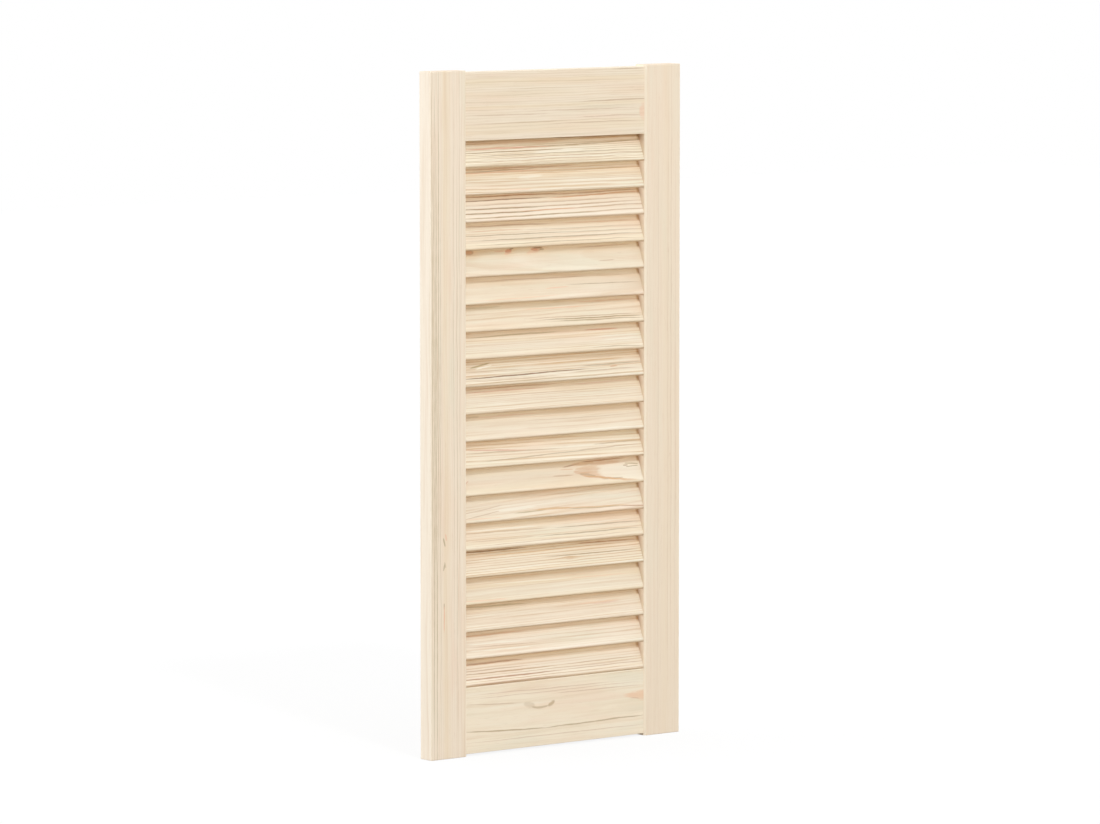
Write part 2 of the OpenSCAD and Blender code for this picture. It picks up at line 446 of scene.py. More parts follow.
def pine_colour():
    """Colour, roughness and height of planed pine, from its rings, fibres, knots and wear, and
    painted light and shade.
    """
    bench, given, out = node_group("pine colour", {
        "Early Colour": srgb(242, 226, 203), "Late Colour": srgb(214, 178, 138), "Contrast": 0.6,
        "Fineness": 0.5, "Line Colour": srgb(*RESIN), "Painted Light Tint": WHITE,
        **dict.fromkeys(RING_MASKS + FIBRE_MASKS + KNOT_LOOKS + PLACE_MASKS, 0.0)},
        ("Color", "Roughness", "Height"))

    def share(label, amount):
        """A share of an input."""
        return bench.times(given[label], amount)

    rosy = bench.times(bench.step(given["Cloud"], 0.0, 0.22), 0.36)
    cool = bench.times(bench.step(given["Cloud"], 0.0, -0.22), 0.40)
    gold = bench.times(bench.step(given["Band"], 0.48, 0.75), 0.30)
    early = bench.mix(rosy, given["Early Colour"], srgb(*ROSY_PATCH))
    early = bench.mix(cool, early, srgb(*COOL_PATCH))
    early = bench.mix(gold, early, srgb(*GOLD_BAND))
    # Painted light: each stile's outer side is made paler
    early = bench.mix(share("Painted Side Light", 0.70), early, srgb(*PAINTED_SIDE_PALE))

    ring_strength = bench.times(given["Contrast"], bench.plus(0.30, share("Year", 1.4)))
    ring = bench.times(given["Late Wood"], ring_strength)
    dark_hair = bench.times(bench.step(given["Hairline"], 0.04, 0.20), given["Fineness"])
    pale_hair = bench.times(bench.step(given["Hairline"], -0.04, -0.20), given["Fineness"])
    streak = bench.times(bench.plus(share("Streak", 0.30), share("Coarse", 0.36)),
                         bench.plus(given["Fineness"], 0.55))
    darker = bench.clamp(bench.plus(ring, streak, bench.times(dark_hair, 0.55)))
    paler = bench.clamp(bench.minus(bench.times(pale_hair, 0.8), bench.times(streak, 1.6)))

    wood = bench.mix(paler, early, srgb(*PALE_HAIR))
    wood = bench.mix(darker, wood, given["Late Colour"])
    for label, amount, colour in STAINS:
        wood = bench.mix(share(label, amount), wood, srgb(*colour))
    wood = bench.mix(share("Line", 0.90), wood, given["Line Colour"])
    # Painted light and shade, multiplied into the wood
    wood = bench.mix(given["Painted Light"], wood, given["Painted Light Tint"], "MULTIPLY")
    # Arris wear, with a painted highlight on slat noses and stile chamfers
    wood = bench.mix(given["Wear"], wood, srgb(*PALE_WEAR_AND_HIGHLIGHT))
    wood = bench.mix(share("End Grain", 0.15), wood, srgb(*END_GRAIN))
    bench.feed(out["Color"], wood)
    bench.feed(out["Roughness"],
               bench.plus(PLANED_ROUGHNESS, *(share(*part) for part in ROUGHNESS_SHARES)))
    bench.feed(out["Height"], bench.plus(*(share(*part) for part in HEIGHT_SHARES)))
    return bench.tree


RINGS_GROUP = growth_rings()
KNOT_GROUP = knot()
LINE_GROUP = resin_line()
FLAME_GROUP = flame_knot()
FIBRES_GROUP = fibres()
ARRIS_GROUP = worn_arris()
PINE_GROUP = pine_colour()


# Boards: how each lies, and the wood it is cut from

# Turns that bring a board's own X along, Y across and Z out of its face
LIES_UPRIGHT = (0.0, math.radians(-90), math.radians(90))
LIES_ACROSS = (math.radians(90), 0.0, 0.0)
LIES_SLOPED = (SLAT_SLOPE, 0.0, 0.0)

# What the wood is multiplied by on a slat's open face, then its painted light and shade: a painted
# lift of the shade high on that face, wear with a painted highlight beside its nose, painted shade
# under its nose and in the corners at its ends, and painted shade deep on the stiles' inner edges
OPEN_FACE = (0.995, 1.0, 1.0, 1.0)
PAINTED_SHADE_LIFT = (1.07, 1.03, 0.98, 1.0)
NOSE_WEAR_AND_HIGHLIGHT = (1.04, 1.06, 1.07, 1.0)
PAINTED_NOSE_SHADE = (0.88, 0.79, 0.70, 1.0)
PAINTED_CORNER_SHADE = (0.76, 0.62, 0.46, 1.0)
PAINTED_EDGE_SHADE = (0.64, 0.49, 0.40, 1.0)

# Where these start and are full on a slat, in mm from its middle out of its face, up its slope and
# along it
FACE_FRONT = (0.0, 1.0)
SHADE_LIFT_BEGINS, SHADE_LIFT_ENDS = (1.0, 14.0), (17.2, 16.0)
NOSE_BEGINS, NOSE_ENDS = (-16.5, -14.5), (-9.5, -12.5)
NOSE_BENEATH = (-15.0, -16.2)
CORNER_ALONG, CORNER_HIGH = (136.2, 140.0), (7.5, 11.5)

# The painted shade deep on a stile's inner edge: where it starts and is full, in mm along the stile
# from its middle, then in metres how far behind the middle it is deepest, and its reach from there
BESIDE_SLATS = (342.0, 337.0)
DEEPEST_BACK = 0.003
SHADE_REACH = 0.014

# From where and fully: a normal's part along the axis that it faces, the product of its two parts
# on a chamfer, and its upward part on an underside
FACES_AXIS = (0.6, 0.9)
IS_CHAMFER = (0.3, 0.45)
FACES_DOWN = (0.10, -0.65)

# How much of the lines shows on the back, and where they come up, in mm before the board's middle
LINES_AT_BACK = 0.25
LINES_FADE = (-5.0, 1.0)

# What a knot, a flame and a line are given by, in this order, and which of these are in mm
KNOT_FIELDS = ("Along", "Across", "Radius", "Stretch", "Slope", "Bend", "Strength")
FLAME_FIELDS = ("Along", "Across", "Length", "Half Width", "Slope", "Strength", "Core Tint",
                "Inner Tint")
LINE_FIELDS = ("Along", "Across", "Half Length", "Thickness", "Slope", "Strength", "Tint", "Sag")
IN_MM = ("Along", "Across", "Radius", "Length", "Half Width", "Half Length", "Thickness")

# A painted highlight on the chamfers, gloss, and the strength and depth of the fibres' relief
CHAMFER_HIGHLIGHT = 0.75
SHINE = 0.35
BUMP_STRENGTH = 0.5
BUMP_DEPTH = 0.15 * MM


def slat_light_and_shade(bench, board, facing):
    """Painted light and shade on a slat by its place, with some real wear beside its nose."""
    along, across, through = board
    front = bench.zone(through, FACE_FRONT)
    high = bench.times(bench.zone(across, SHADE_LIFT_BEGINS), bench.zone(across, SHADE_LIFT_ENDS))
    low = bench.times(bench.zone(across, NOSE_BEGINS), bench.zone(across, NOSE_ENDS))
    beneath = bench.times(bench.zone(across, NOSE_BENEATH), bench.step(facing[2], *FACES_DOWN))
    corner = bench.times(bench.zone(bench.size(along), CORNER_ALONG),
                         bench.zone(across, CORNER_HIGH))
    tint = bench.mix(bench.times(high, front), OPEN_FACE, PAINTED_SHADE_LIFT)
    tint = bench.mix(bench.times(low, front), tint, NOSE_WEAR_AND_HIGHLIGHT)
    tint = bench.mix(beneath, tint, PAINTED_NOSE_SHADE)
    return bench.mix(bench.times(corner, front), tint, PAINTED_CORNER_SHADE)


def stile_masks(bench, board, facing, side):
    """Masks of a stile: painted light on its outer side, painted shade deep on its inner edge, and
    a painted highlight on its chamfers.
    """
    along, _, through = board
    outward = bench.times(facing[0], side)
    inward = bench.step(bench.times(outward, -1.0), *FACES_AXIS)
    off_deepest = bench.over(bench.size(bench.plus(through, DEEPEST_BACK)), SHADE_REACH)
    deep = bench.larger(bench.minus(1.0, off_deepest), 0.0)
    beside_slats = bench.zone(bench.size(along), BESIDE_SLATS)
    bevel = bench.times(bench.size(facing[0]), bench.size(facing[1]))
    painted_side_light = bench.step(outward, *FACES_AXIS)
    return (painted_side_light, bench.times(deep, deep, inward, beside_slats),
            bench.times(bench.step(bevel, *IS_CHAMFER), CHAMFER_HIGHLIGHT))


def lay_marks(bench, tree, local, fields, marks, laid):
    """What a board's knots, flames or lines give, each laid over the ones before it.

    A mark holds its values in the order of its fields. A straight line leaves out its sag, which
    is per metre.
    """
    for mark in marks:
        inputs = {"Vector": local, **{label + " In": value for label, value in laid.items()}}
        for label, value in zip(fields, mark):
            if label in IN_MM:
                value = value * MM
            elif "Tint" in label:
                value = srgb(*value)
            inputs[label] = value
        made = bench.group(tree, inputs)
        laid = {label: made[label] for label in laid}
    return laid


def pine(name, place, turn, half_wide, half_thickness, wood):
    """Material of one pine board, with its own rings, tint, knots and lines, and painted light and
    shade by its place.
    """
    material, bench, shader = new_material(name)
    coordinates = bench.put("TexCoord").outputs
    local = bench.put("Mapping", {"Vector": coordinates["Object"], "Location": place,
                                  "Rotation": turn}, vector_type="TEXTURE").outputs[0]
    found = dict.fromkeys(KNOT_MASKS, 0.0)
    found = lay_marks(bench, KNOT_GROUP, local, KNOT_FIELDS, wood["knots"], found)
    laid = {"Line": 0.0, "Colour": srgb(*RESIN)}
    laid = lay_marks(bench, FLAME_GROUP, local, FLAME_FIELDS, wood["flames"], laid)
    laid = lay_marks(bench, LINE_GROUP, local, LINE_FIELDS, wood["lines"], laid)
    rings = bench.group(RINGS_GROUP, {
        "Vector": local, "Push": found["Push"], "Pith Across": wood["pith"][0] * MM,
        "Pith Below": wood["pith"][1] * MM, "Drift Across": wood["drift"][0],
        "Drift Below": wood["drift"][1], "Spacing": wood["spacing"] * MM,
        "Wander": wood["wander"] * MM, "Ripple": wood["ripple"] * MM, "Uneven": wood["uneven"],
        "Seed": wood["seed"]})
    fine = bench.group(FIBRES_GROUP, {"Vector": local, "Seed": wood["seed"]})
    wear = bench.group(ARRIS_GROUP, {
        "Vector": local, "Half Width": half_wide, "Half Thickness": half_thickness})["Wear"]

    board, facing = bench.split(local), bench.split(coordinates["Normal"])
    # Painted light and shade by place: none on the rails, a painted tint on a slat, and on a stile
    # painted light on its outer side, painted shade on its inner edge and a painted highlight on
    # its chamfers
    painted_share, painted_side_light, chamfer = 0.0, 0.0, 0.0
    end_axis, painted_tint = facing[0], PAINTED_EDGE_SHADE
    if turn is LIES_SLOPED:
        painted_share, painted_tint = 1.0, slat_light_and_shade(bench, board, facing)
    if turn is LIES_UPRIGHT:
        end_axis = facing[2]
        side = math.copysign(1.0, place[0])
        painted_side_light, painted_share, chamfer = stile_masks(bench, board, facing, side)
    end_grain = bench.step(bench.size(end_axis), *FACES_AXIS)
    showing = bench.times(bench.zone(board[2], LINES_FADE), 1.0 - LINES_AT_BACK)
    made = bench.group(PINE_GROUP, {
        "Early Colour": srgb(*wood["early"]), "Late Colour": srgb(*wood["late"]),
        "Contrast": wood["contrast"], "Fineness": wood["fineness"],
        **{mask: rings[mask] for mask in RING_MASKS}, **{mask: fine[mask] for mask in FIBRE_MASKS},
        **{mask: found[mask] for mask in KNOT_LOOKS},
        "Cloud": bench.times(fine["Cloud"], wood["cloudy"]),
        "Line": bench.times(laid["Line"], bench.plus(LINES_AT_BACK, showing)),
        "Line Colour": laid["Colour"], "Painted Light": painted_share, "Painted Light Tint": painted_tint,
        "Painted Side Light": painted_side_light, "Wear": bench.larger(bench.times(wear, wood["worn"]), chamfer),
        "End Grain": end_grain})
    bump = bench.put("Bump", {"Strength": BUMP_STRENGTH, "Distance": BUMP_DEPTH,
                              "Height": made["Height"]})
    bench.feed(shader["Base Color"], made["Color"])
    bench.feed(shader["Roughness"], made["Roughness"])
    bench.feed(shader["Specular IOR Level"], SHINE)
    bench.feed(shader["Normal"], bump.outputs[0])
    return material


def cut(**wood):
    """The wood of a board: plain values, changed by what is given."""
    plain = {"pith": (70, -15), "drift": (0.0, 0.0), "spacing": 3.4, "wander": 2.0, "ripple": 0.5,
             "seed": 0.0, "early": CREAM, "late": (212, 180, 142), "fineness": 0.5,
             "contrast": 0.45, "uneven": 1.0, "cloudy": 1.0, "worn": 0.45, "knots": (),
             "flames": (), "lines": ()}
    return {**plain, **wood}


# The wood of each slat, counted from the top, with the fields of its marks in order
SLAT_WOOD = {
    1: cut(
        pith=(85, 6), drift=(0.01, 0), spacing=3.5, wander=3, contrast=0.8, uneven=0.5,
        fineness=0.4, early=(244, 232, 209), late=(200, 174, 136),
        # The first of slat 1's lines is a broad warm wash over the band where the slat above casts
        # its shadow: painted shade
        lines=((-60, 12.6, 90, 4, 0, 0.45, ROAST), (-95, 14, 55, 1.4, -0.012, 0.45, RUSSET),
               (95, 14, 55, 1.6, 0, 0.6, HONEY), (70, 15.8, 80, 0.9, 0, 0.6, RUSSET),
               (-70, 5.2, 80, 1.2, 0.004, 0.8, RED), (10, -1, 45, 3, 0.03, 0.6, CHALK),
               (40, 6.8, 110, 1.1, 0.012, 0.8, GREY), (-60, 0.6, 90, 1, 0.004, 0.8, GREY),
               (0, -3.6, 140, 0.9, 0.004, 0.7, GREY), (20, -7.4, 150, 0.9, 0.004, 0.75, TAN),
               (0, -9.4, 140, 1.2, 0.004, 0.5, CHALK), (-10, -11.4, 150, 0.9, 0.004, 0.75, TAN),
               (0, -14.8, 150, 0.9, 0.004, 0.6, TAN))),
    2: cut(
        pith=(-60, -20), drift=(-0.01, 0.01), spacing=3.2, wander=4, ripple=1, contrast=0.7,
        fineness=0.8, early=OLIVE,
        lines=((-50, 14.6, 100, 1.1, 0.002, 0.6, RUSSET), (-80, 10, 70, 1.6, 0.01, 0.5, PEACH),
               (-80, 11.8, 60, 1, 0.01, 0.6, GREY), (-35, 2.5, 22, 3, 0.05, 0.45, CHALK),
               (-60, -13.6, 26, 1.5, 0, 0.4, PEACH), (50, 8.6, 90, 0.8, 0.006, 0.5, GREY))),
    3: cut(
        pith=(90, 4), drift=(0.006, 0), spacing=5.4, wander=1.6, contrast=0.35, uneven=0.4,
        fineness=0.2, early=PALE,
        lines=((-60, 14.4, 90, 1.2, 0.004, 0.8, RUSSET), (70, 14, 80, 1.2, 0.01, 0.7, UMBER),
               (-80, 9.4, 80, 1.1, 0.004, 0.8, BARK), (70, 10.6, 85, 1.2, 0.022, 0.8, ORANGE),
               (-80, -1.6, 80, 1.1, -0.004, 0.95, GREY), (50, -1, 90, 1, 0.008, 0.8, TAN),
               (-90, -7.2, 75, 1.1, -0.002, 0.95, GREY),
               (-10, -6.4, 55, 1.1, 0.012, 0.8, ORANGE), (90, -5, 65, 1, 0.012, 0.8, TAN),
               (-40, -12.8, 120, 1.1, 0.004, 0.85, GREY), (90, -11.4, 70, 0.9, 0.008, 0.7, TAN),
               (0, 4, 150, 0.9, 0.006, 0.65, TAN))),
    4: cut(
        pith=(-95, 5), drift=(0.004, 0), spacing=5.8, wander=1.6, contrast=0.35, uneven=0.4,
        fineness=0.3, early=GOLDEN,
        lines=((-60, -0.6, 100, 1, -0.004, 0.65, GREY), (0, -7, 150, 1.1, -0.003, 0.7, GREY),
               (0, -13, 150, 1, -0.003, 0.5, GREY), (-70, 11.4, 80, 1.2, -0.006, 0.6, UMBER),
               (80, 10.4, 70, 1, -0.014, 0.5, ORANGE), (-90, 5.4, 50, 1, 0, 0.5, ORANGE),
               (40, 4, 100, 0.7, -0.004, 0.4, GREY), (70, -1.6, 80, 0.8, -0.008, 0.4, GREY))),
    5: cut(
        pith=(4, -38), drift=(0, 0.03), spacing=4.2, wander=3, contrast=0.2, early=WAN,
        fineness=0.3,
        knots=((-127, 14.2, 3, 2.2, 0, 0.5, 0.75), (-65, 13.8, 2.8, 1.7, 0.25, 0.5, 0.5),
               (-21, 14.4, 3, 2.6, 0.05, 0.5, 0.5)),
        lines=((-67, 10.2, 7, 2, 0.15, 0.5, PEACH), (-28, 10.6, 12, 3, 0.15, 0.4, PEACH),
               (-66, 13.2, 6, 2.4, 0.1, 0.7, ROSE), (-60, 15.6, 4, 1.2, 0.1, 0.8, BARK),
               (-80, 13.4, 9, 1.4, 0, 0.35, ROSE), (-25, 13.6, 6, 2.2, 0, 0.6, ROSE),
               (-19, 15.9, 8, 1.1, 0.05, 0.8, BARK), (-13, 13.8, 4, 2.2, 0, 0.5, MOSS),
               (84, -6, 14, 0.9, 0, 0.5, TAN), (85, 13.5, 50, 1, 0, 0.5, UMBER))),
    6: cut(
        pith=(-4, -44), drift=(0, -0.02), spacing=4.6, wander=3, contrast=0.22,
        early=(236, 221, 200), fineness=0.35,
        lines=((6, -2.4, 20, 1.1, 0.03, 0.55, PEACH), (80, -0.2, 62, 0.8, -0.02, 0.6, GREY),
               (-30, 11, 100, 1, 0, 0.4, UMBER), (-60, -13, 80, 0.9, 0.01, 0.4, PEACH))),
    7: cut(
        pith=(-20, -34), drift=(0.015, 0), spacing=3.8, wander=3, contrast=0.36, fineness=0.5,
        lines=((50, -6.4, 100, 0.9, -0.012, 0.7, TAN), (60, -9.2, 90, 1, -0.012, 0.85, GREY),
               (70, -12, 80, 1, -0.01, 0.75, GREY), (5, 7, 55, 1.2, 0, 0.5, PEACH),
               (90, 12.4, 60, 1.4, -0.01, 0.4, ORANGE), (-110, 12.6, 36, 2, 0, 0.35, MOSS))),
    8: cut(
        pith=(60, -40), spacing=3, wander=3, contrast=0.35, fineness=0.45,
        lines=((80, 10.2, 30, 1.2, -0.02, 0.7, RED), (-60, 10.4, 80, 1.1, 0.012, 0.6, MOSS),
               (105, 1, 40, 1, 0, 0.5, CHALK), (110, -4.5, 36, 1, 0, 0.5, CHALK),
               (100, -13.6, 45, 0.8, -0.02, 0.6, GREY))),
    9: cut(
        pith=(-85, 0), drift=(0.008, 0), spacing=3.6, wander=2.6, contrast=0.7, fineness=0.6,
        early=OLIVE,
        lines=((-45, -6.4, 110, 1.2, 0.012, 0.95, BARK), (-112, 8.6, 18, 1.5, 0.16, 0.8, MOSS),
               (-106, 6.2, 15, 1.1, 0.14, 0.8, CHALK), (96, -4.4, 7, 1.2, 0, 0.6, ORANGE),
               (95, -1, 55, 1, 0.004, 0.7, GREY), (80, -8, 62, 0.9, 0.006, 0.6, TAN),
               (-60, -11.4, 80, 0.9, 0, 0.6, TAN), (0, -14.4, 140, 0.8, 0, 0.5, GREY),
               (-90, 0.8, 50, 0.8, 0, 0.5, TAN))),
    10: cut(
        pith=(75, -10), spacing=2.6, wander=3, contrast=0.5, fineness=0.5, cloudy=0.6,
        lines=((-75, 9.4, 70, 1.4, 0, 0.4, RED), (85, 11.4, 60, 1.2, 0, 0.3, RED),
               (-60, 13.6, 80, 1.2, 0, 0.5, UMBER), (-20, 3.2, 120, 0.7, 0.004, 0.5, TAN))),
    11: cut(
        pith=(30, -50), spacing=3.4, wander=3, contrast=0.3, fineness=0.45, cloudy=0.5,
        lines=((-125, 12.8, 16, 1.8, 0, 0.35, GREY), (-75, 11.8, 60, 1.5, 0, 0.25, RED),
               (90, -14.6, 55, 1, 0, 0.6, CHALK), (40, 2.6, 90, 0.7, -0.01, 0.4, TAN))),
    12: cut(
        pith=(-50, -12), drift=(-0.02, 0.01), spacing=4.8, wander=3, contrast=0.55, fineness=0.5,
        early=GOLDEN,
        lines=((-86, 3.2, 56, 1.2, -0.062, 0.6, RED), (-60, 0.4, 80, 1, -0.02, 0.45, GREY),
               (-20, -7.6, 105, 1, 0.026, 0.55, GREY), (90, -4.2, 55, 0.9, 0.012, 0.6, TAN),
               (30, 0.8, 60, 1.2, 0, 0.4, CHALK), (100, 1.2, 45, 0.9, 0.01, 0.5, GREY))),
    13: cut(
        pith=(10, -50), wander=3, contrast=0.18, fineness=0.25, cloudy=0.8, early=(235, 220, 198),
        knots=((-142, -4, 2.2, 1.4, 0, 0.4, 0.4),),
        flames=((31, 2.4, 112, 13.5, -0.048, 0.95, ROAST, CHALK),),
        lines=((52, 12.2, 22, 3.6, 0.03, 0.55, HONEY), (86, 10.4, 28, 3.2, 0, 0.4, ORANGE),
               (84, 14.4, 40, 1.3, 0.004, 0.75, RUSSET), (34, 11, 17, 1.2, 0.12, 0.6, RUSSET),
               (55, -3.4, 15, 2.8, -0.2, 0.75, TAN), (94, -10.8, 20, 1, 0, 0.6, GREY),
               (54, 7, 18, 1.6, 0.06, 0.4, ROAST), (16, -1.8, 18, 1, -0.02, 0.6, TAN),
               (24, 6.2, 12, 1, -0.03, 0.5, ROAST), (128, 6.8, 13, 1.2, -0.06, 0.7, MOSS),
               (128, 3.2, 12, 1.1, 0.05, 0.65, MOSS), (118, 5, 5, 2.2, 0, 0.5, GREY),
               (-137, -2, 6, 0.9, 0.7, 0.6, RED))),
    14: cut(
        pith=(-30, -25), drift=(0.04, 0), spacing=4.6, wander=3, contrast=0.34, fineness=0.5,
        early=(237, 223, 202),
        lines=((0, -8.6, 34, 1.9, -0.02, 0.8, HONEY), (66, -10.6, 60, 1.1, -0.032, 0.7, HONEY),
               (66, -11.8, 50, 0.8, -0.032, 0.75, GREY), (125, -13.6, 26, 1, -0.03, 0.7, UMBER),
               (-36, -9.4, 30, 1, 0.01, 0.6, MOSS), (-112, -8.5, 36, 0.9, 0.13, 0.5, TAN),
               (-112, -2, 36, 0.9, 0.11, 0.45, TAN), (-60, -4, 36, 2.6, 0.02, 0.5, CHALK),
               (-110, -13, 30, 1, -0.02, 0.4, PEACH))),
    15: cut(
        pith=(88, 2), spacing=5, wander=2.6, contrast=0.35, uneven=0.7, early=GOLDEN, fineness=0.4,
        lines=((75, 1, 80, 1.1, -0.01, 0.65, GREY), (-75, 3, 80, 1, -0.01, 0.6, TAN),
               (57, -8, 90, 1.1, 0, 0.65, GREY), (-80, -7, 60, 0.9, 0, 0.5, TAN),
               (0, -13, 140, 0.9, 0, 0.5, TAN), (-80, 6.2, 70, 1.3, -0.01, 0.6, CHALK),
               (60, 4.6, 85, 1.2, 0, 0.5, CHALK))),
    16: cut(
        pith=(-90, 0), drift=(0.006, 0), spacing=3.3, wander=1.8, contrast=0.95, uneven=0.5,
        fineness=0.6, early=GOLDEN,
        knots=((26, -4.5, 1.5, 3.6, 0.05, 0.8, 0.15),),
        lines=((-100, 14.2, 70, 1.5, -0.004, 0.75, BARK), (90, 12.6, 60, 1.3, -0.03, 0.7, UMBER),
               (-60, 3, 100, 0.8, 0.004, 0.5, CHALK), (60, -0.8, 80, 0.9, -0.012, 0.75, GREY))),
    17: cut(
        pith=(60, -30), spacing=3.6, wander=3, contrast=0.24, fineness=0.45, cloudy=0.5, early=WAN,
        lines=((-35, 5.2, 75, 0.8, -0.012, 0.5, CHALK), (75, 3.6, 50, 0.9, -0.02, 0.35, PEACH),
               (-110, -13.6, 40, 1.5, -0.02, 0.4, PEACH), (-60, 13.5, 60, 1.3, 0, 0.4, HONEY))),
    18: cut(
        pith=(-70, -18), drift=(0.01, 0), spacing=2.5, wander=3, contrast=0.45, fineness=0.5,
        cloudy=0.6, early=(238, 222, 200),
        lines=((75, 4.4, 36, 1.4, 0, 0.4, PEACH), (85, 2.4, 26, 1, 0, 0.35, RED),
               (-90, 12.6, 60, 1.2, -0.02, 0.6, MOSS))),
    19: cut(
        pith=(64, -14), spacing=4.6, wander=3, ripple=1, contrast=0.4, fineness=0.6, early=PALE,
        lines=((-90, 0, 50, 1.2, -0.02, 0.6, CHALK), (-85, -8.4, 60, 1.4, -0.01, 0.6, CHALK),
               (-80, -4, 60, 0.8, -0.02, 0.5, TAN), (-95, 11, 60, 1.3, 0, 0.5, ORANGE))),
    20: cut(
        pith=(95, 0), drift=(0.004, 0), spacing=3.5, wander=1.6, contrast=0.55, uneven=0.4,
        fineness=0.3, early=PALE,
        lines=((-75, -3, 90, 1.1, -0.004, 0.8, TAN), (-70, -9.8, 90, 1.2, -0.004, 0.8, UMBER),
               (30, -6.6, 120, 0.8, -0.004, 0.45, TAN), (0, -13.4, 140, 0.8, -0.004, 0.55, TAN),
               (-95, 9.4, 60, 1.4, 0, 0.8, UMBER), (-70, -16.4, 80, 1, 0, 0.6, UMBER),
               (80, -2.6, 70, 0.9, 0, 0.5, TAN), (80, -9.4, 70, 0.9, 0, 0.5, TAN),
               (-95, 1, 60, 0.9, 0, 0.6, TAN))),
}


# Slats

# Half thickness from which a slat's arris wear is counted, the strength of that wear and its
# painted highlight, and the seeds of its wood
SLAT_WEAR_HALF = 0.003
SLAT_WEAR_AND_HIGHLIGHT = 0.2
SEED_START, SEED_STEP = 1.3, 3.7

# Most bow and crook of a slat in mm, the depth of its planed ripple, and the ripple's two rates
MOST_BOW = 0.12
MOST_CROOK = 0.15
RIPPLE_DEPTH = 0.02 * MM
SHORT_RIPPLE, LONG_RIPPLE = 57.0, 23.0

# Points round each edge of a slat and along each face, and stations between the stiles
EDGE_POINTS = 14
FACE_POINTS = 10
STATIONS = 61
SHARP_ANGLE = math.radians(40)


def add_object(name, data):
    """A new object at the origin, in the scene."""
    made = bpy.data.objects.new(name, data)
    bpy.context.scene.collection.objects.link(made)
    return made


def corners(node):
    """The lowest and the highest corner of a piece's box in the drawing."""
    return [np.array(corner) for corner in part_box(node)]


def stadium():
    """Outline of a slat's section, as points (up the slope, out of the face).

    A half circle round the nose, the back flat, a half circle round the upper edge and the front
    flat, each with an even number of points, going round once.
    """
    nose = np.linspace(math.pi / 2, 3 * math.pi / 2, EDGE_POINTS, endpoint=False)
    upper = np.linspace(-math.pi / 2, math.pi / 2, EDGE_POINTS, endpoint=False)
    run = np.linspace(0, SLAT_SPAN, FACE_POINTS, endpoint=False)
    slope = np.concatenate([NOSE_RADIUS * np.cos(nose), run,
                            SLAT_SPAN + NOSE_RADIUS * np.cos(upper), SLAT_SPAN - run])
    out = np.concatenate([NOSE_RADIUS * np.sin(nose), np.full(FACE_POINTS, -NOSE_RADIUS),
                          NOSE_RADIUS * np.sin(upper), np.full(FACE_POINTS, NOSE_RADIUS)])
    return slope, out


def slat_faces(rows, count):
    """Four-sided faces round a slat between its rows of points, and those of its two flat ends."""
    row, point = np.meshgrid(np.arange(rows - 1), np.arange(count), indexing="ij")
    following = (point + 1) % count
    here, beyond = row * count, (row + 1) * count
    sides = np.stack([here + point, here + following, beyond + following, beyond + point], axis=-1)
    pair = np.arange(count // 2 - 1)
    end = np.stack([count - 1 - pair, count - 2 - pair, pair + 1, pair], axis=-1)
    return np.concatenate([sides.reshape(-1, 4), end, (rows - 1) * count + end[:, ::-1]])


def slat_surface(name, low, high, bow, crook):
    """A slat: the stadium outline carried along X between its sawn ends.

    Between the stiles its middle line bows out of its face and up its slope by a parabola that is
    nothing at the stiles, and both faces carry a slight planed ripple, a product of two sines.
    """
    stations = [low[0], *np.linspace(-OPENING_HALF, OPENING_HALF, STATIONS), high[0]]
    slope, out = stadium()
    count = len(slope)
    along = np.repeat(np.array(stations)[:, None], count, axis=1)
    reach = np.clip(1 - (along / OPENING_HALF) ** 2, 0, None)
    turn = 2 * math.pi * np.arange(count) / count
    wave = np.sin(along * SHORT_RIPPLE + turn * 2) * np.cos(along * LONG_RIPPLE + turn)
    up_slope = slope + crook * reach
    off_face = out * (1 + RIPPLE_DEPTH * wave * reach / NOSE_RADIUS) + bow * reach
    y = low[1] + NOSE_RADIUS + up_slope * math.cos(SLAT_SLOPE) - off_face * math.sin(SLAT_SLOPE)
    z = low[2] + NOSE_RADIUS + up_slope * math.sin(SLAT_SLOPE) + off_face * math.cos(SLAT_SLOPE)
    points = np.stack([along, y, z], axis=-1).reshape(-1, 3)
    mesh = bpy.data.meshes.new(name)
    mesh.from_pydata(points.tolist(), [], slat_faces(len(stations), count).tolist())
    mesh.validate()
    mesh.update()
    mesh.polygons.foreach_set("use_smooth", np.ones(len(mesh.polygons), dtype=bool))
    mesh.set_sharp_from_angle(angle=SHARP_ANGLE)
    return add_object(name, mesh)


for index in range(1, SLAT_COUNT + 1):
    node = f"slat_{index:02d}"
    low, high = corners(node)
    bow = float(chance.uniform(-MOST_BOW, MOST_BOW)) * MM
    crook = float(chance.uniform(-MOST_CROOK, MOST_CROOK)) * MM
    piece = slat_surface(node + "_board", low, high, bow, crook)
    middle = (0.0, float(low[1]) + NOSE_RADIUS + SLAT_SPAN / 2 * math.cos(SLAT_SLOPE),
              float(low[2]) + NOSE_RADIUS + SLAT_SPAN / 2 * math.sin(SLAT_SLOPE))
    wood = {**SLAT_WOOD[index], "seed": SEED_STEP * index + SEED_START, "worn": SLAT_WEAR_AND_HIGHLIGHT}
    piece.data.materials.append(
        pine(node + " pine", middle, LIES_SLOPED, SLAT_WIDTH / 2, SLAT_WEAR_HALF, wood))
    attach(piece, "root")
    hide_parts(node)


# Stiles, rails and dowels keep the drawing's solids and take finer wood

BEECH_SEED = 5.0
BEECH = (212, 178, 140)
DARK_BEECH = (196, 158, 120)
FLECK = (150, 108, 76)


def dress(node, material):
    """Gives every slot of a kept solid its material."""
    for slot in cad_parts[node].material_slots:
        slot.material = material


